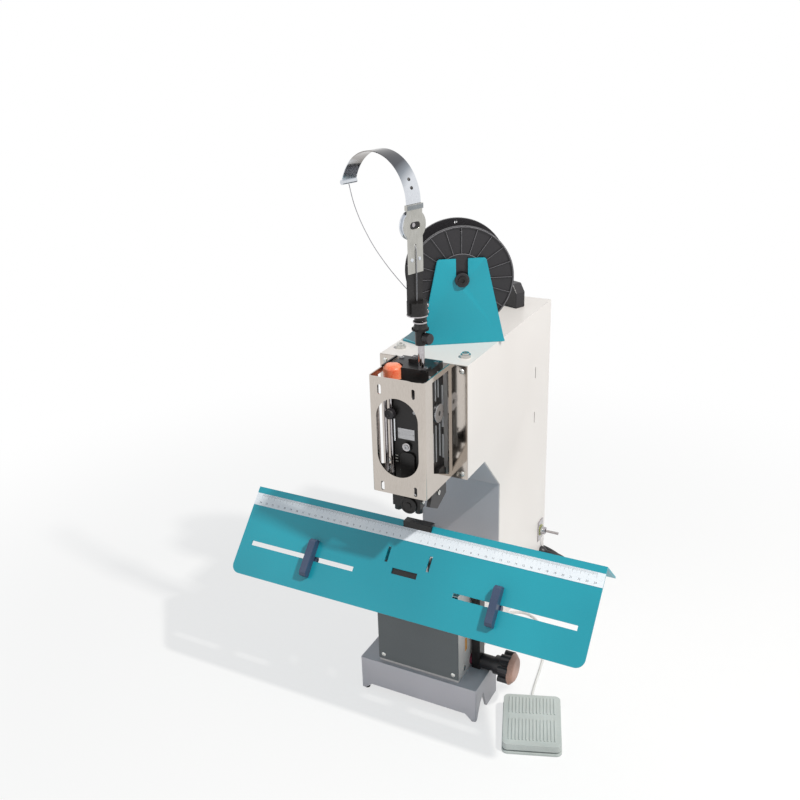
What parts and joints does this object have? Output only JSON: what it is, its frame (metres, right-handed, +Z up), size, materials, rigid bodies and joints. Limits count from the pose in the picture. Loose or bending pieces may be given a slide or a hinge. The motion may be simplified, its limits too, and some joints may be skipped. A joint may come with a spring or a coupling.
{
  "type": "saddle wire stitcher",
  "caption": "Desk wire stitcher with a folding saddle table, guarded stitching head, wire spool, tension arm, clamp knob and foot pedal.",
  "frame": {"origin": "on the floor under the middle of the cabinet head's front face", "axes": "+X to the operator's right, +Y away from the operator, +Z up"},
  "size_m": [0.5, 0.542, 0.7518],
  "materials": {
    "painted_teal": "satin teal paint",
    "painted_white": "satin off-white paint",
    "painted_grey": "satin mauve-grey paint",
    "painted_dark": "satin dark grey paint",
    "stainless": "brushed",
    "steel": "machined",
    "spring_steel": "polished strip",
    "chrome": "bright",
    "black_steel": "black oxide",
    "rubber": "matte",
    "black_plastic": "moulded",
    "red_plastic": "moulded",
    "grey_plastic": "moulded",
    "stop_plastic": "moulded",
    "ruler_white": "printed strip",
    "zinc": "plated",
    "wire_steel": "drawn wire",
    "black_cord": "matte",
    "white_cord": "matte",
    "cast": "machined casting"
  },
  "bodies": {
    "frame": {"foot_plinths": "painted_grey", "rubber_pads": "rubber", "cabinet_shell": "painted_white", "throat_panel": "painted_grey", "back_cover": "painted_white", "front_panel": "painted_dark", "small_screws": "zinc", "cabinet_bolts": "zinc", "anvil_post": "steel", "head_body": "black_steel", "guide_rods": "chrome", "face_plate": "steel", "clamp_lever": "black_steel", "red_cap": "red_plastic", "lower_jaw": "black_steel", "guard": "stainless", "arm_rod": "chrome", "arm_clamp": "black_steel", "arm_strip": "black_steel", "link_plate": "spring_steel", "spool_bracket": "painted_teal", "spool_axle": "black_plastic", "roof_block": "black_plastic", "switch_body": "chrome", "cord_glands": "black_plastic", "motor": "cast", "shaft_bearings": "steel", "inner_frame": "painted_grey", "drive_belt": "rubber", "wire_to_spool": "wire_steel", "wire_feed": "wire_steel", "mains_cord": "black_cord", "mains_coil": "black_cord", "mains_plug": "black_cord", "pedal_base": "grey_plastic", "pedal_cord": "white_cord", "pedal_coil": "white_cord", "clamp_shaft": "steel"},
    "carriage": {"carriage": "black_steel"},
    "table": {"table_plate": "painted_teal", "ruler": "ruler_white", "table_ribs": "painted_teal", "clinch_dies": "black_steel"},
    "right_stop": {"stop_right": "stop_plastic"},
    "left_stop": {"stop_left": "stop_plastic"},
    "clamp_knob_body": {"star_knob": "black_plastic"},
    "arm_knob": {"clamp_knob": "black_plastic"},
    "spool_body": {"spool": "black_plastic", "wire_winding": "wire_steel"},
    "roller_body": {"roller": "spring_steel"},
    "strap_body": {"strap": "spring_steel"},
    "former": {"former_slide": "steel"},
    "driver": {"driver_slide": "steel"},
    "supporter_body": {"supporter": "black_steel"},
    "feeder": {"feed_wheel": "steel"},
    "crank": {"main_shaft": "steel", "drive_wheel": "cast"},
    "motor_rotor": {"motor_pulley": "steel"},
    "toggle": {"toggle_lever": "chrome"},
    "treadle": {"pedal_treadle": "grey_plastic"}
  },
  "joints": [
    {"name": "table_lift", "type": "slide", "parent": "frame", "child": "carriage", "axis": [0, 0, 1], "range_m": [0, 0.003]},
    {"name": "table_tilt", "type": "hinge", "parent": "carriage", "child": "table", "pos_m": [0, 0.0123, 0.20166], "axis": [1, 0, 0], "range_deg": [-47.3, 0]},
    {"name": "right_stop_slide", "type": "slide", "parent": "table", "child": "right_stop", "axis": [1, 0, 0], "range_m": [-0.054, 0.1]},
    {"name": "left_stop_slide", "type": "slide", "parent": "table", "child": "left_stop", "axis": [1, 0, 0], "range_m": [-0.093, 0.061]},
    {"name": "clamp_turn", "type": "hinge", "parent": "frame", "child": "clamp_knob_body", "pos_m": [0.075, 0.0123, 0.0635], "axis": [1, 0, 0], "range_deg": [-360, 90]},
    {"name": "arm_knob_turn", "type": "hinge", "parent": "frame", "child": "arm_knob", "pos_m": [0.01255, -0.02924, 0.538], "axis": [-0.9511, 0.309, 0], "range_deg": [-180, 90]},
    {"name": "spool_turn", "type": "hinge", "parent": "frame", "child": "spool_body", "pos_m": [0.00406, 0.09852, 0.5823], "axis": [-0.5358, 0.8443, 0], "continuous": true},
    {"name": "roller_turn", "type": "hinge", "parent": "frame", "child": "roller_body", "pos_m": [0.00789, -0.03645, 0.6727], "axis": [-0.9511, 0.309, 0], "continuous": true},
    {"name": "strap_flex", "type": "hinge", "parent": "frame", "child": "strap_body", "pos_m": [0.01093, -0.03744, 0.6965], "axis": [0.309, 0.9511, 0], "range_deg": [-8, 0], "stiffness_Nm_per_rad": 1, "springref_deg": 2.86, "deforming": ["wire_to_spool"]},
    {"name": "former_travel", "type": "slide", "parent": "frame", "child": "former", "axis": [0, 0, -1], "range_m": [0, 0.022]},
    {"name": "driver_travel", "type": "slide", "parent": "frame", "child": "driver", "axis": [0, 0, -1], "range_m": [0, 0.022]},
    {"name": "supporter_swing", "type": "hinge", "parent": "frame", "child": "supporter_body", "pos_m": [0.0298, -0.018, 0.359], "axis": [1, 0, 0], "range_deg": [0, 10], "stiffness_Nm_per_rad": 1, "springref_deg": -2.86},
    {"name": "feed_turn", "type": "hinge", "parent": "frame", "child": "feeder", "pos_m": [0.0298, -0.022, 0.44], "axis": [1, 0, 0], "continuous": true},
    {"name": "crank_turn", "type": "hinge", "parent": "frame", "child": "crank", "pos_m": [0, 0.1, 0.441], "axis": [0, 1, 0], "continuous": true},
    {"name": "motor_turn", "type": "hinge", "parent": "frame", "child": "motor_rotor", "pos_m": [0, 0.146, 0.16], "axis": [0, 1, 0], "continuous": true},
    {"name": "toggle_tip", "type": "hinge", "parent": "frame", "child": "toggle", "pos_m": [0.0615, 0.28, 0.125], "axis": [0, 1, 0], "range_deg": [-10, 10]},
    {"name": "treadle_press", "type": "hinge", "parent": "frame", "child": "treadle", "pos_m": [0.1465, 0.01842, 0.01215], "axis": [0.9385, 0.3453, 0], "range_deg": [0, 1.3], "stiffness_Nm_per_rad": 3, "springref_deg": -5.73}
  ],
  "couplings": [
    {"joint": "motor_turn", "follows": "crank_turn", "ratio": 2.4}
  ]
}
